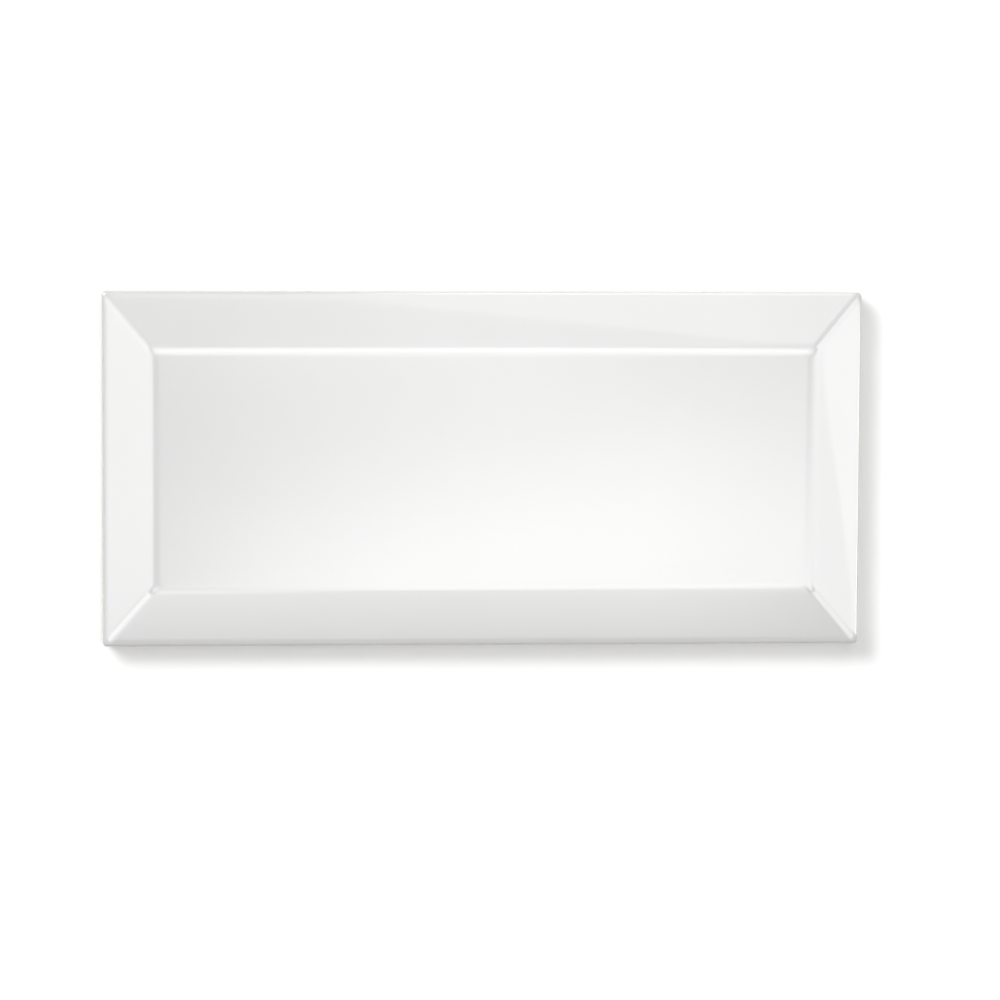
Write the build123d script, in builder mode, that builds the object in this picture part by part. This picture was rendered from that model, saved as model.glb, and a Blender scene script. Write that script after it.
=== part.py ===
from build123d import *
import os

# Bevelled porcelain wall tile: one pressed and fired piece, lying on its back with the face up.
# X runs along the tile, Y across it and Z up from the bed, the plane that the keyed back rests on.
# All sizes are in millimetres.

# Overall sizes
length = 150.0
width = 70.0
edge_height = 5.0  # bed to the foot of the bevels: how thick the tile is at its edges
bevel_rise = 3.0  # foot of the bevels to the flat face
thickness = edge_height + bevel_rise

# Bevelled face
end_bevel = 10.0  # plan width of the bevels at the two short ends
side_bevel = 11.5  # plan width of the bevels along the two long sides
ridge_radius = 5.0  # soft rounding of the ridge round the face and of the mitres between the bevels

# Edges
corner_radius = 0.9  # plan radius of the four outer corners
arris_radius = 0.8  # rounding between the bevels and the upright edges
back_chamfer = 0.6  # relief round the foot of the upright edges

# Keyed back
back_border = 6.0  # plain strip between the edges and the outermost pockets
key_cell = 12.0  # smallest side of a pocket; the pockets widen to fill the back evenly
key_rib = 2.0  # rib left between two pockets, at the bed
key_depth = 0.8
key_draft = 20.0  # lean of the pocket walls, in degrees
key_corner_radius = 1.5

# The arris and the relief run round the outer corners, so both stay a little tighter than those
share_of_corner = 0.95
arris_rounding = min(arris_radius, share_of_corner * corner_radius)
foot_relief = min(back_chamfer, share_of_corner * corner_radius)


def section(plane, side, bevel):
    """Section through the body: square at the foot, with a bevel up to the flat face at each end."""
    half = side / 2
    with BuildSketch(plane) as body:
        with BuildLine():
            Polyline(
                (-half, 0),
                (half, 0),
                (half, edge_height),
                (half - bevel, thickness),
                (bevel - half, thickness),
                (-half, edge_height),
                close=True,
            )
        make_face()
    return body.sketch


def key_grid(side):
    """How many pockets fit along one side of the back, and how far apart they stand."""
    field = side - 2 * back_border + key_rib
    count = max(1, int(field // (key_cell + key_rib)))
    return count, field / count


columns, column_pitch = key_grid(length)
rows, row_pitch = key_grid(width)

with BuildPart() as tile:
    # Where the two sections cross, the bevels meet in mitres that run out to the corners
    extrude(section(Plane.XZ, length, end_bevel), amount=width / 2, both=True)
    extrude(section(Plane.YZ, width, side_bevel), amount=length / 2, both=True, mode=Mode.INTERSECT)

    # Soft glazed ridges and mitres
    *_, mitres, ridges = tile.edges().group_by(Axis.Z)
    fillet(mitres + ridges, ridge_radius)

    # Outer corners, then the arris that runs round the top of the upright edges
    fillet(tile.edges().filter_by(Axis.Z), corner_radius)
    uprights = tile.faces().filter_by_position(Axis.Z, 0, edge_height, inclusive=(False, False))
    level_edges = uprights.edges().filter_by(Axis.Z, reverse=True)
    fillet(level_edges.filter_by_position(Axis.Z, edge_height / 2, thickness), arris_rounding)

    # Relieved foot and keyed back
    bed = tile.faces().sort_by(Axis.Z)[0]
    chamfer(bed.edges(), foot_relief)
    with BuildSketch():
        with GridLocations(column_pitch, row_pitch, columns, rows):
            RectangleRounded(column_pitch - key_rib, row_pitch - key_rib, key_corner_radius)
    extrude(amount=key_depth, taper=key_draft, mode=Mode.SUBTRACT)

tile.part.label = "bevelled_tile"

os.makedirs("parts", exist_ok=True)
export_step(tile.part, "parts/bevelled_tile.step")
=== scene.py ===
import math
from typing import NamedTuple

import bmesh
import bpy
from bpy.props import FloatProperty, FloatVectorProperty, PointerProperty
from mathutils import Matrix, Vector, noise


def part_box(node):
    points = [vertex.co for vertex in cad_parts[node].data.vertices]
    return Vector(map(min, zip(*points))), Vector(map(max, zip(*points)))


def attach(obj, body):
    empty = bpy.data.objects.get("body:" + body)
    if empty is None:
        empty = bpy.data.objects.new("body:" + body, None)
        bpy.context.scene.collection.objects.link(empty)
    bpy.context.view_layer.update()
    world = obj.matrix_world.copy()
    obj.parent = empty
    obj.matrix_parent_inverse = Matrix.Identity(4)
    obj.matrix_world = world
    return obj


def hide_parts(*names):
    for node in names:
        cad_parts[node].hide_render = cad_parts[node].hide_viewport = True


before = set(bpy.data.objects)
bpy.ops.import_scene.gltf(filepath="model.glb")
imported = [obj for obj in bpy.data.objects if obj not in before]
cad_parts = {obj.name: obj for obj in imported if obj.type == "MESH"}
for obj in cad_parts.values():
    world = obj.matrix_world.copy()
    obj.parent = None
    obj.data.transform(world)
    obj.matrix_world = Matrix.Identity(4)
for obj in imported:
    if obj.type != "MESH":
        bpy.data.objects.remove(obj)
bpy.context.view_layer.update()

bl_info = {
    "name": "Bevelled tile",
    "version": (1, 0, 0),
    "blender": (4, 5, 0),
    "location": "3D View > Sidebar > Tile",
    "description": "Glazed porcelain wall tile with mitred bevels, and a plain studio to show it in",
    "category": "Object",
}

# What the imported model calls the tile, its body and its finish
TILE_NODE = "bevelled_tile"
TILE_BODY = "root"
TILE_SLOT = "glazed_porcelain"

# What the dressed tile is called here
TILE_PIECE = "glazed_tile"

MM = 0.001
TILE_LOW, TILE_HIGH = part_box(TILE_NODE)
TILE_SPAN = TILE_HIGH - TILE_LOW


def length_prop(name, description, default):
    """A length that the user can change, in metres."""
    return FloatProperty(
        name=name, description=description, default=default, min=0.0, unit="LENGTH", precision=5
    )


def amount_prop(name, description, default):
    """A plain number from nothing up."""
    return FloatProperty(name=name, description=description, default=default, min=0.0)


def share_prop(name, description, default):
    """A share between nothing and all."""
    return FloatProperty(
        name=name, description=description, default=default, min=0.0, max=1.0, subtype="FACTOR"
    )


def colour_prop(name, description, default):
    """A colour that the user can change."""
    return FloatVectorProperty(
        name=name, description=description, default=default, size=3, min=0.0, max=1.0, subtype="COLOR"
    )


class TileSizes(bpy.types.PropertyGroup):
    """Sizes of the pressed tile and of the glaze on it."""

    length: length_prop("Length", "Long side of the tile", TILE_SPAN.x)
    width: length_prop("Width", "Short side of the tile", TILE_SPAN.y)
    thickness: length_prop("Thickness", "Bed to the flat face", TILE_SPAN.z)
    edge_height: length_prop("Edge height", "Bed to the foot of the bevels", 5.0 * MM)
    end_bevel: length_prop("End bevel", "Plan width of the bevels at the short ends", 10.0 * MM)
    side_bevel: length_prop("Side bevel", "Plan width of the bevels along the long sides", 11.5 * MM)
    ridge_radius: length_prop("Ridge radius", "Rounding of the ridge round the face", 9.0 * MM)
    mitre_radius: length_prop("Mitre radius", "Rounding where two bevels meet", 5.0 * MM)
    corner_radius: length_prop("Corner radius", "Plan radius of the outer corners", 0.9 * MM)
    arris_radius: length_prop("Arris radius", "Rounding between bevels and upright edges", 0.8 * MM)
    back_chamfer: length_prop("Back chamfer", "Relief round the foot of the edges", 0.6 * MM)
    back_border: length_prop("Back border", "Plain strip outside the pockets", 6.0 * MM)
    key_cell: length_prop("Key cell", "Smallest side of a pocket in the back", 12.0 * MM)
    key_rib: length_prop("Key rib", "Rib between two pockets", 2.0 * MM)
    key_depth: length_prop("Key depth", "Depth of the pockets", 0.8 * MM)
    key_corner_radius: length_prop("Key corner radius", "Plan radius of the pockets' corners", 1.5 * MM)
    key_draft: FloatProperty(
        name="Key draft",
        description="Lean of the pocket walls",
        default=math.radians(20.0),
        subtype="ANGLE",
    )
    glaze_line: length_prop("Glaze line", "Height on the edges where the glaze ends", 2.3 * MM)
    glaze_wander: length_prop("Glaze wander", "How far the glaze line strays up and down", 0.45 * MM)
    glaze_lip: length_prop("Glaze lip", "How far the glaze stands proud of the bare body", 0.07 * MM)
    glaze_ripple: length_prop("Glaze ripple", "Depth of the slow waves in the fired glaze", 0.006 * MM)


class TileFinish(bpy.types.PropertyGroup):
    """Colours and surface of the glaze and of the bare body."""

    glaze_colour: colour_prop("Glaze", "White gloss glaze", (0.70, 0.70, 0.70))
    # Partly the glaze's real grey where it draws thin over the arris, partly painted shade that darkens the
    # tile's rim
    thin_glaze_shade_colour: colour_prop("Thin glaze", "Glaze where it draws thin over the arris", (0.58, 0.58, 0.57))
    biscuit_colour: colour_prop("Biscuit", "Bare fired body on the back and the foot", (0.70, 0.655, 0.58))
    glaze_roughness: share_prop("Glaze roughness", "How much the glaze blurs a reflection", 0.012)
    biscuit_roughness: share_prop("Biscuit roughness", "How matt the bare body is", 0.8)
    glaze_mottle: share_prop("Glaze mottle", "How far the glaze's white drifts", 0.02)
    biscuit_mottle: share_prop("Biscuit mottle", "How far the bare body's tone drifts", 0.18)
    peel_height: length_prop("Peel", "Height of the fine dimples in the glaze", 0.0002 * MM)
    grain_height: length_prop("Grain", "Height of the grain in the bare body", 0.02 * MM)


class StudioLook(bpy.types.PropertyGroup):
    """Floor, light and camera."""

    floor_colour: colour_prop("Floor", "Pale floor", (0.96, 0.96, 0.96))
    floor_glow: amount_prop("Floor glow", "Light of the floor itself", 0.02)
    floor_size: length_prop("Floor size", "Side of the floor", 6.0)
    room_light: amount_prop("Room light", "Even light from all round", 0.01)
    lens: FloatProperty(name="Lens", description="Focal length in millimetres", default=151.3, min=1.0)
    eye_left: length_prop("Eye to the left", "Camera's distance left of the tile's middle", 64.0 * MM)
    eye_back: length_prop("Eye to the back", "Camera's distance behind the tile's middle", 64.0 * MM)
    eye_height: length_prop("Eye height", "Camera's height over the bed", 829.4 * MM)
    eye_lean: FloatVectorProperty(
        name="Eye lean",
        description="How the camera leans from straight down towards the tile",
        default=[math.radians(angle) for angle in (-4.87, -4.64, 0.3)],
        subtype="EULER",
    )


class Wire:
    """A value on its way through a node tree. Sums on it become Math nodes."""

    def __init__(self, tree, socket):
        self.tree = tree
        self.socket = socket

    def node(self, kind, settings, inputs, output=0):
        """Adds a node: its settings first, then its sockets' values or links."""
        return add_node(self.tree, kind, settings, inputs, output)

    def sum(self, operation, first, second):
        """One Math node on two values."""
        return self.node("ShaderNodeMath", {"operation": operation}, {0: first, 1: second})

    def __add__(self, other):
        return self.sum("ADD", self, other)

    def __radd__(self, other):
        return self.sum("ADD", other, self)

    def __sub__(self, other):
        return self.sum("SUBTRACT", self, other)

    def __rsub__(self, other):
        return self.sum("SUBTRACT", other, self)

    def __mul__(self, other):
        return self.sum("MULTIPLY", self, other)

    def __rmul__(self, other):
        return self.sum("MULTIPLY", other, self)

    def __abs__(self):
        return self.node("ShaderNodeMath", {"operation": "ABSOLUTE"}, {0: self})

    def rises(self, start, end):
        """Goes smoothly from 0 at start to 1 at end."""
        return self.node(
            "ShaderNodeMapRange",
            {"interpolation_type": "SMOOTHSTEP"},
            {"Value": self, "From Min": start, "From Max": end},
        )

    def mix(self, low, high):
        """This share of the second colour in the first."""
        return self.node(
            "ShaderNodeMix", {"data_type": "RGBA"}, {"Factor": self, 6: low, 7: high}, output=2
        )


def add_node(tree, kind, settings, inputs, output=0):
    """Adds one node to a tree and gives back one of its outputs."""
    made = tree.nodes.new(kind)
    for name, value in settings.items():
        setattr(made, name, value)
    for key, value in inputs.items():
        if isinstance(value, Wire):
            tree.links.new(value.socket, made.inputs[key])
        else:
            made.inputs[key].default_value = value
    return Wire(tree, made.outputs[output])


def empty_material(name):
    """A material whose node tree holds nothing yet."""
    material = bpy.data.materials.new(name)
    material.use_nodes = True
    material.node_tree.nodes.clear()
    return material


def show_surface(tree, shader):
    """Ends the node tree of a material."""
    output = tree.nodes.new("ShaderNodeOutputMaterial")
    tree.links.new(shader.socket, output.inputs["Surface"])


def shade(colour, factor):
    """A colour made lighter or darker, with the alpha that colour sockets want."""
    return tuple(min(1.0, part * factor) for part in colour) + (1.0,)


# What each point of the mesh tells the finish: its share of glaze, and how thin the glaze is drawn there,
# which also sets the painted shade along the tile's rim
GLAZE_ATTRIBUTE = "glaze_cover"
THIN_SHADE_ATTRIBUTE = "glaze_thin_shade"

# How fine the patterns in the finish are, in waves to the metre
DRIFT_SCALE = 45.0
SMEAR_SCALE = 160.0
PEEL_SCALE = 420.0
SPECKLE_SCALE = 900.0
FRAY_SCALE = 2500.0

# The glaze's edge frays by this share, and runs from bare to covered within this band
FRAY_SHARE = 0.5
EDGE_BAND = (0.35, 0.65)

# The glaze's roughness drifts between these shares of its value
SMEAR_LEAST = 0.7
SMEAR_MOST = 1.3

# Fused glass over a fired body
BODY_IOR = 1.55
GLASS_IOR = 1.6
GLASS_ROUGHNESS = 0.01


def porcelain_material(finish):
    """White gloss glaze that ends in a wandering line, with the bare biscuit below it."""
    material = empty_material(TILE_SLOT)
    tree = material.node_tree
    place = add_node(tree, "ShaderNodeTexCoord", {}, {}, "Object")

    def texture(scale, detail):
        """Even noise with its mean near one half."""
        return place.node("ShaderNodeTexNoise", {}, {"Vector": place, "Scale": scale, "Detail": detail})

    line = place.node("ShaderNodeAttribute", {"attribute_name": GLAZE_ATTRIBUTE}, {}, "Fac")
    cover = (line + FRAY_SHARE * (texture(FRAY_SCALE, 2.0) - 0.5)).rises(*EDGE_BAND)
    bare = 1.0 - cover

    drift = texture(DRIFT_SCALE, 2.0)
    glaze = drift.mix(
        shade(finish.glaze_colour, 1.0 - finish.glaze_mottle),
        shade(finish.glaze_colour, 1.0 + finish.glaze_mottle),
    )
    # Painted shade: the glaze is greyed where it draws thin over the arris, which is real, but made darker
    # than thinning alone gives, standing in for shade on the tile's rim
    thin = place.node("ShaderNodeAttribute", {"attribute_name": THIN_SHADE_ATTRIBUTE}, {}, "Fac")
    glaze = thin.mix(glaze, shade(finish.thin_glaze_shade_colour, 1.0))
    speckle = texture(SPECKLE_SCALE, 6.0)
    biscuit = (0.5 * drift + 0.5 * speckle).mix(
        shade(finish.biscuit_colour, 1.0 - finish.biscuit_mottle),
        shade(finish.biscuit_colour, 1.0 + finish.biscuit_mottle),
    )

    smear = SMEAR_LEAST + (SMEAR_MOST - SMEAR_LEAST) * texture(SMEAR_SCALE, 3.0)
    roughness = cover * (finish.glaze_roughness * smear) + bare * finish.biscuit_roughness
    peel = texture(PEEL_SCALE, 1.0)
    relief = cover * peel * (finish.peel_height / finish.grain_height) + bare * speckle
    bump = place.node(
        "ShaderNodeBump", {}, {"Height": relief, "Strength": 1.0, "Distance": finish.grain_height}
    )
    shader = place.node(
        "ShaderNodeBsdfPrincipled",
        {},
        {
            "Base Color": cover.mix(biscuit, glaze),
            "Roughness": roughness,
            "IOR": BODY_IOR,
            "Coat Weight": cover,
            "Coat Roughness": GLASS_ROUGHNESS,
            "Coat IOR": GLASS_IOR,
            "Normal": bump,
        },
    )
    show_surface(tree, shader)
    return material


class TileForm:
    """The tile's surface as a mesh: rings of points that run from the ridge down and under to the back."""

    # Distances in millimetres at which rings have points from a corner, and at which rings follow the ridge:
    # close together where corners, mitres and ridge are round
    NEAR_CORNER = (0.0, 0.12, 0.24, 0.36, 0.48, 0.6, 0.75, 0.95, 1.2, 1.5, 1.9, 2.6, 4.0)
    NEAR_RIDGE = (0.08, 0.16, 0.25, 0.35, 0.45, 0.56, 0.68, 0.82, 1.0, 1.4, 2.0)
    BEVEL_STEPS = 9
    ARRIS_STEPS = 10
    CELL_STEPS = 12
    POCKET_CORNER_STEPS = 3

    # Shares of the way down the glazed and the bare part of the upright edges at which rings lie
    GLAZED_STEPS = (0.3, 0.6, 0.85, 1.0)
    BARE_STEPS = (0.4, 0.8, 1.0)

    # The glaze line's waves to the metre
    WANDER_WAVES = 90.0
    # How its finer waves weaken, how much finer each is than the last, and how many there are
    WANDER_DETAIL = (1.0, 2.0, 3)

    # Half way down the glaze's lip: the share of glaze left there, and of the lip's depth
    LIP_COVER = 0.6
    LIP_SHARE = 1 / 3

    # How fast the glaze draws thin onto the arris, and thickens again below it; this thin share also sets
    # the painted shade on the rim
    THIN_SHADE_RATE = 2

    # Softened mouth of a pocket, and how much of it sinks before the wall starts
    POCKET_RIM = 0.15 * MM
    RIM_SINK = 0.3

    # The ripple's slow and quick waves to the metre, its even depth, and what each kind of wave adds
    SLOW_WAVES = 26.0
    QUICK_WAVES = 80.0
    EVEN_SHARE, SLOW_SHARE, QUICK_SHARE = 0.5, 0.4, 0.1

    # Points nearer than this are one, and edges that turn more than this stay crisp
    WELD = 0.001 * MM
    CRISP_TURN = math.radians(35.0)
    ROUND_OFF = 1e-9

    def __init__(self, sizes):
        self.sizes = sizes
        self.half = (sizes.length / 2, sizes.width / 2)
        rise = sizes.thickness - sizes.edge_height
        self.slope = (rise / sizes.end_bevel, rise / sizes.side_bevel)
        self.mesh = bmesh.new()
        self.cover = self.mesh.verts.layers.float.new(GLAZE_ATTRIBUTE)
        # How thin the glaze is drawn at each point; it also carries the painted shade along the rim
        self.thin = self.mesh.verts.layers.float.new(THIN_SHADE_ATTRIBUTE)
        field = [2 * half - 2 * sizes.back_border + sizes.key_rib for half in self.half]
        cell = sizes.key_cell + sizes.key_rib
        self.cells = [max(1, int((side + self.ROUND_OFF) // cell)) for side in field]
        self.pitch = [side / count for side, count in zip(field, self.cells)]
        self.field_half = [side / 2 for side in field]
        self.divisions = [count * self.CELL_STEPS for count in self.cells]
        self.near_corner = [distance * MM for distance in self.NEAR_CORNER]

    def roof(self, x, y):
        """Height of the bevels and the face over a point of the plan, ridge and mitres rounded off."""
        sizes = self.sizes
        end = sizes.edge_height + (self.half[0] - abs(x)) * self.slope[0]
        side = sizes.edge_height + (self.half[1] - abs(y)) * self.slope[1]
        end_steep, side_steep = (slope * slope for slope in self.slope)
        mitre_blend = sizes.mitre_radius * (end_steep + side_steep) / 2
        bevel = soft_min(end, side, mitre_blend)
        share = min(1.0, max(0.0, 0.5 + 0.5 * (side - end) / mitre_blend))
        ridge_blend = sizes.ridge_radius * (share * end_steep + (1 - share) * side_steep) / 2
        return soft_min(bevel, sizes.thickness, ridge_blend)

    def add_ring(self, plan, heights, cover, thin=0.0):
        """Adds a ring's points, each with its share of glaze and how thin the glaze is drawn there, which
        also sets the painted shade along the rim.
        """
        ring = []
        for (x, y, *_), height in zip(plan, heights):
            vert = self.mesh.verts.new((x, y, height))
            vert[self.cover] = cover
            vert[self.thin] = thin
            ring.append(vert)
        return ring

    def bridge(self, first, second):
        """Faces between two rings; the second is the one that the surface reaches next."""
        count = len(first)
        for i in range(count):
            j = (i + 1) % count
            self.mesh.faces.new((second[i], second[j], first[j], first[i]))

    def fill(self, ring, steps, height, cover, down=False):
        """Fills a four-sided ring with a grid whose inner points are spaced as its sides are."""
        across, along = steps
        south = ring[: across + 1]
        east = ring[across : across + along + 1]
        north = ring[across + along : 2 * across + along + 1][::-1]
        west = (ring[2 * across + along :] + ring[:1])[::-1]
        grid = [south]
        for j in range(1, along):
            row = [west[j]]
            for i in range(1, across):
                x = (south[i].co.x + north[i].co.x) / 2
                y = (west[j].co.y + east[j].co.y) / 2
                vert = self.mesh.verts.new((x, y, height(x, y)))
                vert[self.cover] = cover
                row.append(vert)
            grid.append(row + [east[j]])
        grid.append(north)
        for lower, upper in zip(grid, grid[1:]):
            for i in range(across):
                corners = (lower[i], lower[i + 1], upper[i + 1], upper[i])
                self.mesh.faces.new(corners[::-1] if down else corners)

    def outline(self, inset, radius):
        """The tile's plan outline drawn in by an inset for each axis."""
        half = [side - drawn for side, drawn in zip(self.half, inset)]
        return rounded_oblong(half, max(0.0, radius), self.near_corner, self.divisions)

    def glazed_face(self):
        """Flat face, ridge and bevels down to the arris. Gives back the last ring."""
        sizes = self.sizes
        bevels = (sizes.end_bevel, sizes.side_bevel)
        foot = [sizes.arris_radius * (1 - math.sin(math.atan(slope))) for slope in self.slope]
        widths = [bevel - drawn for bevel, drawn in zip(bevels, foot)]
        steps = [0.0] + [distance * MM / min(widths) for distance in self.NEAR_RIDGE]
        last = steps[-1]
        steps += [last + (1 - last) * (i + 1) / self.BEVEL_STEPS for i in range(self.BEVEL_STEPS)]
        ring = None
        for step in steps:
            inset = [bevel - step * wide for bevel, wide in zip(bevels, widths)]
            plan = self.outline(inset, sizes.corner_radius - min(inset))
            added = self.add_ring(plan, [self.roof(x, y) for x, y, *_ in plan], 1.0)
            if ring is None:
                self.fill(added, self.divisions, self.roof, 1.0)
            else:
                self.bridge(ring, added)
            ring = added
        return ring

    def arris(self, ring):
        """Rounds the bevels over into the upright edges. Gives back the last ring and its heights."""
        radius = self.sizes.arris_radius
        start = [vert.co.z for vert in ring]
        for step in range(1, self.ARRIS_STEPS + 1):
            share = 1 - step / self.ARRIS_STEPS
            turns = [(math.pi / 2 - math.atan(slope)) * share for slope in self.slope]
            inset = [radius * (1 - math.cos(turn)) for turn in turns]
            plan = self.outline(inset, self.sizes.corner_radius - min(inset))
            heights = []
            for (_, _, facing_x, facing_y), top in zip(plan, start):
                slope = self.slope[0] * facing_x**2 + self.slope[1] * facing_y**2
                full = math.pi / 2 - math.atan(slope)
                heights.append(top - radius * (math.sin(full) - math.sin(full * share)))
            # The thin share rises over the arris and darkens it: partly real thin glaze, partly painted
            # shade
            ring = self.next_ring(ring, plan, heights, 1.0, min(1.0, self.THIN_SHADE_RATE * (1 - share)))
        return ring, heights

    def wander(self, x, y):
        """How far up or down the glaze line strays at a point of the outline, as a share."""
        return noise.fractal(Vector((x, y, 0.0)) * self.WANDER_WAVES, *self.WANDER_DETAIL)

    def upright_edge(self, ring, tops):
        """Glazed top of the edges, the glaze's wandering lip, the bare body and the relieved foot."""
        sizes = self.sizes
        plan = self.outline((0.0, 0.0), sizes.corner_radius)
        lines = [sizes.glaze_line + sizes.glaze_wander * self.wander(x, y) for x, y, *_ in plan]
        lip = sizes.glaze_lip
        half_lip = lip * self.LIP_SHARE
        bottoms = [line - 2 * lip for line in lines]
        foot = sizes.back_chamfer
        half_plan, bare_plan, foot_plan = (
            self.outline((inset, inset), sizes.corner_radius - inset) for inset in (half_lip, lip, foot)
        )
        for share in self.GLAZED_STEPS:
            heights = [top + (line - top) * share for top, line in zip(tops, lines)]
            # The thin share, and the painted shade it carries, fades out down the glazed edge
            ring = self.next_ring(ring, plan, heights, 1.0, max(0.0, 1 - self.THIN_SHADE_RATE * share))
        ring = self.next_ring(ring, half_plan, [line - lip for line in lines], self.LIP_COVER)
        ring = self.next_ring(ring, bare_plan, bottoms, 0.0)
        for share in self.BARE_STEPS:
            heights = [bottom + (foot - bottom) * share for bottom in bottoms]
            ring = self.next_ring(ring, bare_plan, heights, 0.0)
        return self.next_ring(ring, foot_plan, [0.0] * len(foot_plan), 0.0)

    def next_ring(self, ring, plan, heights, cover, thin=0.0):
        """Adds a ring and joins it to the one before."""
        added = self.add_ring(plan, heights, cover, thin)
        self.bridge(ring, added)
        return added

    def keyed_back(self, ring):
        """Plain border and the grid of shallow pockets."""
        field = rounded_oblong(self.field_half, 0.0, [0.0], self.divisions)
        self.next_ring(ring, field, [0.0] * len(field), 0.0)
        for column in range(self.cells[0]):
            for row in range(self.cells[1]):
                centre = [
                    (index - (count - 1) / 2) * pitch
                    for index, count, pitch in zip((column, row), self.cells, self.pitch)
                ]
                self.pocket(centre)

    def pocket(self, centre):
        """One drafted pocket with the half ribs round it."""
        sizes = self.sizes
        steps = [self.CELL_STEPS, self.CELL_STEPS]
        cell_half = [pitch / 2 for pitch in self.pitch]
        mouth_half = [half - sizes.key_rib / 2 for half in cell_half]
        draft = sizes.key_depth * math.tan(sizes.key_draft)
        floor_half = [half - draft for half in mouth_half]
        arc = math.pi * sizes.key_corner_radius / 4
        near = [arc * i / self.POCKET_CORNER_STEPS for i in range(self.POCKET_CORNER_STEPS + 1)]
        rim = self.POCKET_RIM
        soft_half = [half + rim for half in mouth_half]
        sunk_half = [half - rim * math.tan(sizes.key_draft) for half in mouth_half]
        rings = (
            (cell_half, 0.0, [0.0], 0.0),
            (soft_half, sizes.key_corner_radius + rim, near, 0.0),
            (mouth_half, sizes.key_corner_radius, near, self.RIM_SINK * rim),
            (sunk_half, sizes.key_corner_radius, near, rim),
            (floor_half, sizes.key_corner_radius - draft, near, sizes.key_depth),
        )
        last = None
        for half, radius, spacing, height in rings:
            plan = rounded_oblong(half, radius, spacing, steps)
            plan = [(x + centre[0], y + centre[1]) for x, y, *_ in plan]
            added = self.add_ring(plan, [height] * len(plan), 0.0)
            if last is not None:
                self.bridge(last, added)
            last = added
        self.fill(last, steps, lambda x, y: sizes.key_depth, 0.0, down=True)

    def ripple(self):
        """Sinks the fired glaze a little, in slow waves, so that reflections bend in it."""
        depth = self.sizes.glaze_ripple
        self.mesh.normal_update()
        moves = []
        for vert in self.mesh.verts:
            slow = self.SLOW_SHARE * noise.noise(vert.co * self.SLOW_WAVES)
            quick = self.QUICK_SHARE * noise.noise(vert.co * self.QUICK_WAVES)
            moves.append(vert.normal * (-depth * vert[self.cover] * (self.EVEN_SHARE + slow + quick)))
        for vert, move in zip(self.mesh.verts, moves):
            vert.co += move

    def build(self):
        """The whole closed surface."""
        ring = self.glazed_face()
        ring, tops = self.arris(ring)
        ring = self.upright_edge(ring, tops)
        self.keyed_back(ring)
        bmesh.ops.remove_doubles(self.mesh, verts=self.mesh.verts, dist=self.WELD)
        self.ripple()
        mesh = bpy.data.meshes.new(TILE_PIECE)
        self.mesh.to_mesh(mesh)
        self.mesh.free()
        mesh.shade_smooth()
        mesh.set_sharp_from_angle(angle=self.CRISP_TURN)
        return mesh


def soft_min(first, second, blend):
    """The lower of two heights, eased over where they come within the blend of each other."""
    overlap = max(blend - abs(first - second), 0.0) / blend
    return min(first, second) - overlap * overlap * blend / 4


def rounded_oblong(half, radius, near, divisions):
    """Points anticlockwise round an oblong, from the middle of its -X -Y corner.

    Each has its outward direction. A side has points at the near distances from its two corners, and is
    evenly divided between them.
    """
    points = []
    sides = (((1, 0), (0, -1), 0), ((0, 1), (1, 0), 1), ((-1, 0), (0, 1), 0), ((0, -1), (-1, 0), 1))
    for along, out, axis in sides:
        straight = half[axis] - radius
        reach = half[1 - axis]
        path = 2 * straight + math.pi * radius / 2
        for distance in spaced(path, near, divisions[axis]):
            offset = distance - path / 2
            beyond = max(0.0, abs(offset) - straight)
            turn = math.copysign(beyond / radius, offset) if radius > 0 else 0.0
            shift = max(-straight, min(straight, offset)) + radius * math.sin(turn)
            depth = reach - radius + radius * math.cos(turn)
            x, y = (along[k] * shift + out[k] * depth for k in (0, 1))
            facing = [out[k] * math.cos(turn) + along[k] * math.sin(turn) for k in (0, 1)]
            points.append((x, y, *facing))
    return points


def spaced(path, near, divisions):
    """Distances along a path: the near ones from each end, and even steps between.

    The end of the path is left off, because the next side starts there.
    """
    middle = divisions - 2 * (len(near) - 1)
    if middle < 1:
        raise ValueError("a ring has fewer divisions than its corners need")
    start = near[-1]
    step = (path - 2 * start) / middle
    inner = [start + step * i for i in range(1, middle)]
    return near + inner + [path - distance for distance in near[:0:-1]]


class Softbox(NamedTuple):
    """A glowing panel of gauze, in metres, with its lean in degrees."""

    name: str
    middle: tuple
    size: tuple
    glow: float
    fade: tuple  # share of the half width and of the half depth over which the light runs out
    lean: tuple = (0.0, 0.0, 0.0)


CEILING = 2.0  # height of the panels overhead
WALL = 2.6  # distance of the upright panels from the tile
WALL_LENGTH = 5.0
WALL_HEIGHT = 1.1
WALL_MIDDLE = 0.6  # how high the middle of a wall panel is
ON_END = (0.0, 90.0, 0.0)  # lean of a panel that stands at the left or the right
ON_EDGE = (90.0, 0.0, 0.0)  # lean of a panel that stands at the front or the back
SOFTBOX_STEP = 0.002  # each panel hangs this much lower than the one before, so that no two touch

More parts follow.
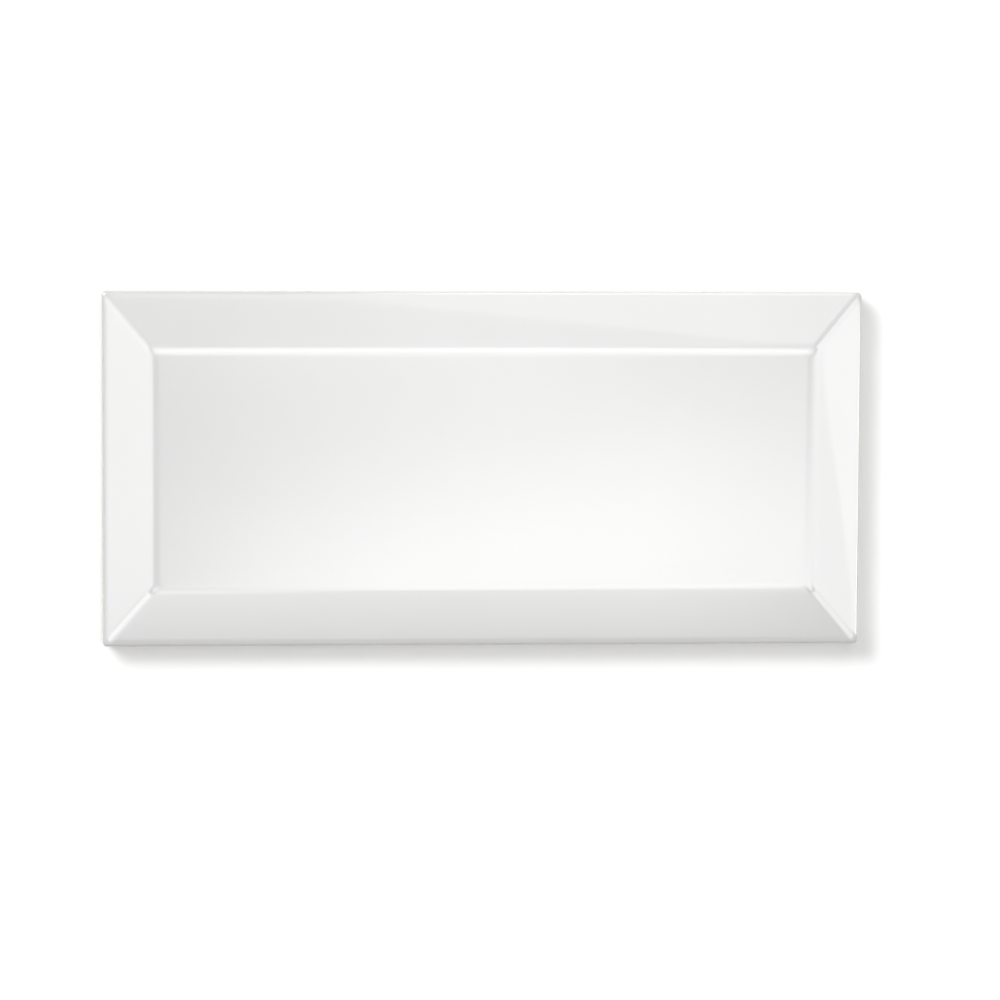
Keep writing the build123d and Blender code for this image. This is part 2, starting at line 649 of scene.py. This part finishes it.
# The panel named key gives most of the light and casts the shadow. The glaze mirrors the ceiling, so
# every other panel hangs where one part of the tile mirrors it: the face mirrors the middle, each bevel a
# patch out to its own side, and the ridges, the mitres and the corners of the face what lies between.
# The upright panels show in the arris, and in the face when it is seen from low down.
SOFTBOXES = (
    Softbox("key", (-2.02, 1.84, CEILING), (3.00, 2.20), 14.9, (0.8, 0.6), (0.0, 0.0, -42.0)),
    Softbox("front_near", (0.20, -0.47, CEILING), (0.75, 0.80), 2.35, (0.8, 0.42), (0.0, 0.0, 10.0)),
    Softbox("back", (0.175, 0.31, CEILING), (1.16, 1.16), 2.35, (0.7, 0.64), (0.0, 0.0, -47.0)),
    Softbox("left", (-1.10, -0.13, CEILING), (1.16, 0.86), 1.75, (0.52, 0.8)),
    Softbox("right", (1.725, -0.20, CEILING), (1.95, 0.66), 2.45, (0.61, 0.5)),
    Softbox("right_edge", (2.192, -0.16, CEILING), (0.60, 0.90), 0.6, (0.01, 0.2), (0.0, 0.0, 11.1)),
    Softbox("right_gap", (0.71, -0.30, CEILING), (0.98, 0.60), 2.4, (0.67, 0.9)),
    Softbox("top", (0.24, 1.03, CEILING), (0.70, 0.40), 0.9, (0.75, 0.3)),
    Softbox("top_edge", (0.265, 1.275, CEILING), (1.10, 0.50), 0.5, (0.2, 0.01), (0.0, 0.0, -6.3)),
    Softbox("back_bar", (0.17, 0.56, CEILING), (0.90, 0.72), 0.6, (0.5, 0.7)),
    Softbox("back_far", (0.30, 1.88, CEILING), (0.60, 1.44), 2.6, (0.6, 0.2)),
    Softbox("front_mid", (0.10, -0.60, CEILING), (0.90, 0.76), 0.8, (0.6, 0.7)),
    Softbox("front", (0.12, -1.115, CEILING), (0.96, 0.80), 1.85, (0.6, 0.26)),
    Softbox("front_bar", (-0.15, -1.06, CEILING), (0.50, 0.36), 0.7, (0.6, 0.8)),
    Softbox("front_left", (-0.69, -0.86, CEILING), (1.74, 0.34), 2.9, (0.8, 0.6), (0.0, 0.0, -42.3)),
    Softbox("front_right", (1.16, -0.82, CEILING), (1.90, 0.38), 2.5, (0.8, 0.6), (0.0, 0.0, 39.2)),
    Softbox("back_left", (-0.95, 0.27, CEILING), (1.24, 0.40), 1.5, (1.0, 0.7), (0.0, 0.0, 39.7)),
    Softbox("back_right", (1.336, 0.293, CEILING), (1.36, 0.38), 2.5, (0.75, 0.6), (0.0, 0.0, -36.0)),
    Softbox("corner_front_left", (-0.36, -0.58, CEILING), (0.54, 0.54), 2.0, (0.8, 0.8), (0.0, 0.0, -42.0)),
    Softbox("corner_front_right", (0.76, -0.57, CEILING), (0.56, 0.56), 2.2, (0.8, 0.8), (0.0, 0.0, 39.0)),
    Softbox("corner_back_left", (-0.36, 0.21, CEILING), (0.50, 0.50), 1.4, (0.8, 0.8), (0.0, 0.0, 40.0)),
    Softbox("corner_back_right", (0.74, 0.19, CEILING), (0.50, 0.50), 1.4, (0.8, 0.8), (0.0, 0.0, -36.0)),
    Softbox("low_right", (WALL, -0.25, 1.05), (1.90, 0.42), 5.2, (0.1, 0.3), ON_END),
    Softbox("low_back", (0.36, WALL, 1.02), (0.66, 1.85), 3.0, (0.6, 0.1), ON_EDGE),
    Softbox("wall_left", (-WALL, 0.0, WALL_MIDDLE), (WALL_HEIGHT, WALL_LENGTH), 0.35, (0.4, 0.2), ON_END),
    Softbox("wall_right", (WALL, 0.0, WALL_MIDDLE), (WALL_HEIGHT, WALL_LENGTH), 0.40, (0.4, 0.2), ON_END),
    Softbox("wall_front", (0.0, -WALL, WALL_MIDDLE), (WALL_LENGTH, WALL_HEIGHT), 0.40, (0.2, 0.4), ON_EDGE),
    Softbox("wall_back", (0.0, WALL, WALL_MIDDLE), (WALL_LENGTH, WALL_HEIGHT), 0.45, (0.2, 0.4), ON_EDGE),
)

# Lamp light is a very little warmer than white
LAMP_COLOUR = (1.0, 1.0, 0.995, 1.0)
NO_LIGHT = (0.0, 0.0, 0.0, 1.0)


def softbox_material(box):
    """Light that runs out towards the panel's sides, on gauze that lets the panels behind it show."""
    material = empty_material("softbox_" + box.name)
    tree = material.node_tree
    place = add_node(tree, "ShaderNodeTexCoord", {}, {}, "Object")
    x, y = (abs(place.node("ShaderNodeSeparateXYZ", {}, {0: place}, axis)) for axis in "XY")
    glow = x.rises(1.0, 1.0 - box.fade[0]) * y.rises(1.0, 1.0 - box.fade[1])
    colour = glow.mix(NO_LIGHT, LAMP_COLOUR)
    light = place.node("ShaderNodeEmission", {}, {"Color": colour, "Strength": box.glow})
    gauze = place.node("ShaderNodeBsdfTransparent", {}, {})
    show_surface(tree, place.node("ShaderNodeAddShader", {}, {0: light, 1: gauze}))
    return material


def add_softbox(box, drop):
    """Hangs one panel where its light is wanted, a little below the one before it."""
    mesh = bpy.data.meshes.new("softbox_" + box.name)
    mesh.from_pydata([(-1, -1, 0), (1, -1, 0), (1, 1, 0), (-1, 1, 0)], [], [(0, 3, 2, 1)])
    mesh.materials.append(softbox_material(box))
    panel = bpy.data.objects.new("softbox_" + box.name, mesh)
    panel.location = Vector(box.middle) - Vector((0.0, 0.0, drop))
    panel.scale = (box.size[0] / 2, box.size[1] / 2, 1.0)
    panel.rotation_euler = [math.radians(angle) for angle in box.lean]
    panel.visible_camera = False
    bpy.context.scene.collection.objects.link(panel)


FLOOR_GAP = 0.02 * MM  # the tile's bed stands this much clear of the floor
FLOOR_ROUGHNESS = 0.9


def floor_material(studio):
    """Pale floor with a light of its own, so that it stays whiter than the tile."""
    material = empty_material("pale_floor")
    tree = material.node_tree
    tone = tuple(studio.floor_colour) + (1.0,)
    shader = add_node(
        tree,
        "ShaderNodeBsdfPrincipled",
        {},
        {
            "Base Color": tone,
            "Roughness": FLOOR_ROUGHNESS,
            "Specular IOR Level": 0.0,
            "Emission Color": tone,
            "Emission Strength": studio.floor_glow,
        },
    )
    show_surface(tree, shader)
    return material


def add_floor(studio):
    """A plain floor under the tile's bed."""
    half = studio.floor_size / 2
    level = TILE_LOW.z - FLOOR_GAP
    mesh = bpy.data.meshes.new("floor")
    corners = [(-half, -half, level), (half, -half, level), (half, half, level), (-half, half, level)]
    mesh.from_pydata(corners, [], [(0, 1, 2, 3)])
    mesh.materials.append(floor_material(studio))
    floor = bpy.data.objects.new("floor", mesh)
    bpy.context.scene.collection.objects.link(floor)


NEAREST_SEEN = 0.01
FARTHEST_SEEN = 20.0


def add_camera(studio):
    """Looks down on the tile from a little to its upper left."""
    camera = bpy.data.cameras.new("camera")
    camera.lens = studio.lens
    camera.clip_start = NEAREST_SEEN
    camera.clip_end = FARTHEST_SEEN
    placed = bpy.data.objects.new("camera", camera)
    placed.location = (-studio.eye_left, studio.eye_back, studio.eye_height)
    placed.rotation_euler = studio.eye_lean
    bpy.context.scene.collection.objects.link(placed)
    bpy.context.scene.camera = placed


def set_room(studio):
    """Even light from all round, and plain tones in the picture."""
    world = bpy.data.worlds.new("room")
    world.use_nodes = True
    background = world.node_tree.nodes["Background"]
    background.inputs["Color"].default_value = (1.0, 1.0, 1.0, 1.0)
    background.inputs["Strength"].default_value = studio.room_light
    scene = bpy.context.scene
    scene.world = world
    scene.view_settings.view_transform = "Standard"


class TILE_OT_press_and_glaze(bpy.types.Operator):
    """Makes the glazed tile in place of the plain solid"""

    bl_idname = "tile.press_and_glaze"
    bl_label = "Press and glaze the tile"

    def execute(self, context):
        sizes = context.scene.tile_sizes
        mesh = TileForm(sizes).build()
        mesh.materials.append(porcelain_material(context.scene.tile_finish))
        tile = bpy.data.objects.new(TILE_PIECE, mesh)
        context.scene.collection.objects.link(tile)
        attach(tile, TILE_BODY)
        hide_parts(TILE_NODE)
        return {"FINISHED"}


class TILE_OT_set_studio(bpy.types.Operator):
    """Lays the floor, hangs the lights and sets the camera"""

    bl_idname = "tile.set_studio"
    bl_label = "Set the studio"

    def execute(self, context):
        studio = context.scene.tile_studio
        add_floor(studio)
        for index, box in enumerate(SOFTBOXES):
            add_softbox(box, index * SOFTBOX_STEP)
        set_room(studio)
        add_camera(studio)
        return {"FINISHED"}


class TILE_PT_bench(bpy.types.Panel):
    """Lists the tile's sizes and the steps that make it"""

    bl_label = "Bevelled tile"
    bl_space_type = "VIEW_3D"
    bl_region_type = "UI"
    bl_category = "Tile"

    def draw(self, context):
        for group in (context.scene.tile_sizes, context.scene.tile_finish, context.scene.tile_studio):
            box = self.layout.box()
            for name in group.__annotations__:
                box.prop(group, name)
        self.layout.operator(TILE_OT_press_and_glaze.bl_idname)
        self.layout.operator(TILE_OT_set_studio.bl_idname)


CLASSES = (TileSizes, TileFinish, StudioLook, TILE_OT_press_and_glaze, TILE_OT_set_studio, TILE_PT_bench)


def register():
    """Makes the sizes, the steps and the panel known to Blender."""
    for made in CLASSES:
        bpy.utils.register_class(made)
    bpy.types.Scene.tile_sizes = PointerProperty(type=TileSizes)
    bpy.types.Scene.tile_finish = PointerProperty(type=TileFinish)
    bpy.types.Scene.tile_studio = PointerProperty(type=StudioLook)


def unregister():
    """Takes back what register made known."""
    del bpy.types.Scene.tile_studio
    del bpy.types.Scene.tile_finish
    del bpy.types.Scene.tile_sizes
    for made in reversed(CLASSES):
        bpy.utils.unregister_class(made)


def main():
    """Makes the tile and its studio."""
    register()
    bpy.ops.tile.press_and_glaze()
    bpy.ops.tile.set_studio()


if __name__ == "__main__":
    main()
